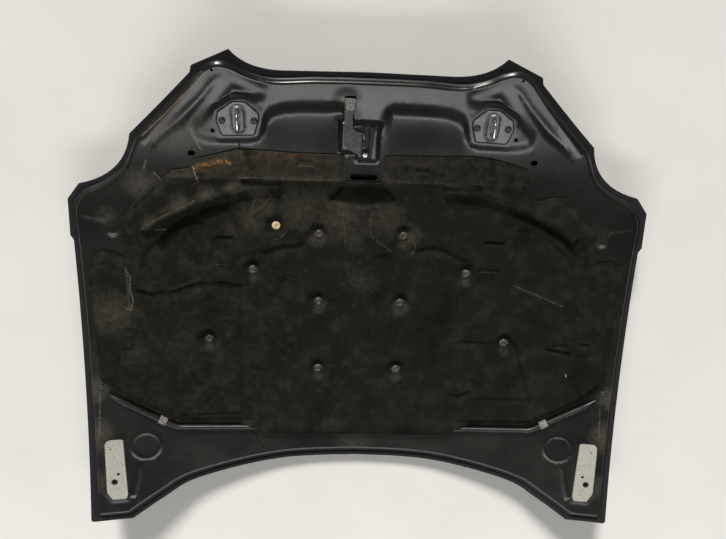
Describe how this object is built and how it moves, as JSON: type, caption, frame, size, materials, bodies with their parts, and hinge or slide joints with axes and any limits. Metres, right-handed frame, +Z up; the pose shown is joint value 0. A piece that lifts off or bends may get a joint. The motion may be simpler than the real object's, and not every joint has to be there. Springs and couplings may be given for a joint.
{
  "type": "car bonnet",
  "caption": "Pressed steel car bonnet lying inner side up, with moulded insulation pad, striker loops, sprung safety catch and rear seal.",
  "frame": {"origin": "middle of the bonnet in plan, on the plane that its outer skin rests on", "axes": "+X towards the bonnet's right as seen from above its inner side, +Y from the hinge end to the nose, +Z up out of the inner side"},
  "size_m": [1.4902, 1.2856, 0.1605],
  "materials": {
    "body_paint": "dark grey paint, satin, dusty",
    "pad_felt": "moulded black felt, dusty and stained",
    "black_plastic": "black plastic, dusty",
    "cream_plastic": "cream plastic",
    "plated_steel": "dull zinc plate, worn",
    "bolt_steel": "dull plated steel",
    "primed_steel": "black primer, satin",
    "seal_rubber": "black rubber, slightly glossy"
  },
  "bodies": {
    "bonnet": {"outer_skin": "body_paint", "inner_panel": "body_paint", "insulation_pad": "pad_felt", "push_clip_1": "black_plastic", "push_clip_2": "black_plastic", "push_clip_3": "black_plastic", "push_clip_4": "black_plastic", "push_clip_5": "black_plastic", "push_clip_6": "black_plastic", "push_clip_7": "black_plastic", "push_clip_8": "black_plastic", "push_clip_9": "black_plastic", "push_clip_10": "black_plastic", "bare_clip": "cream_plastic", "striker_plate_right": "plated_steel", "striker_plate_left": "plated_steel", "striker_loop_right": "plated_steel", "striker_loop_left": "plated_steel", "striker_bolt_right_1": "bolt_steel", "striker_bolt_right_2": "bolt_steel", "striker_bolt_left_1": "bolt_steel", "striker_bolt_left_2": "bolt_steel", "striker_reinforcement_right": "primed_steel", "striker_reinforcement_left": "primed_steel", "striker_nut_right_1": "bolt_steel", "striker_nut_right_2": "bolt_steel", "striker_nut_left_1": "bolt_steel", "striker_nut_left_2": "bolt_steel", "catch_bracket": "primed_steel", "catch_pivot_pin": "bolt_steel", "catch_spring": "primed_steel", "catch_rivet": "bolt_steel", "rear_seal": "seal_rubber", "seal_clip_right": "seal_rubber", "seal_clip_left": "seal_rubber", "side_plug_right": "black_plastic", "side_plug_left": "black_plastic", "hinge_reinforcement_right": "primed_steel", "hinge_reinforcement_left": "primed_steel", "hinge_nut_right": "bolt_steel", "hinge_nut_left": "bolt_steel"},
    "safety_catch": {"catch_lever": "plated_steel"}
  },
  "joints": [
    {"name": "safety_catch_pivot", "type": "hinge", "parent": "bonnet", "child": "safety_catch", "pos_m": [0, 0.41127, 0.0671], "axis": [0, -0.3541, 0.9352], "range_deg": [0, 18], "stiffness_Nm_per_rad": 1, "springref_deg": -11.46, "deforming": ["catch_spring"]}
  ]
}
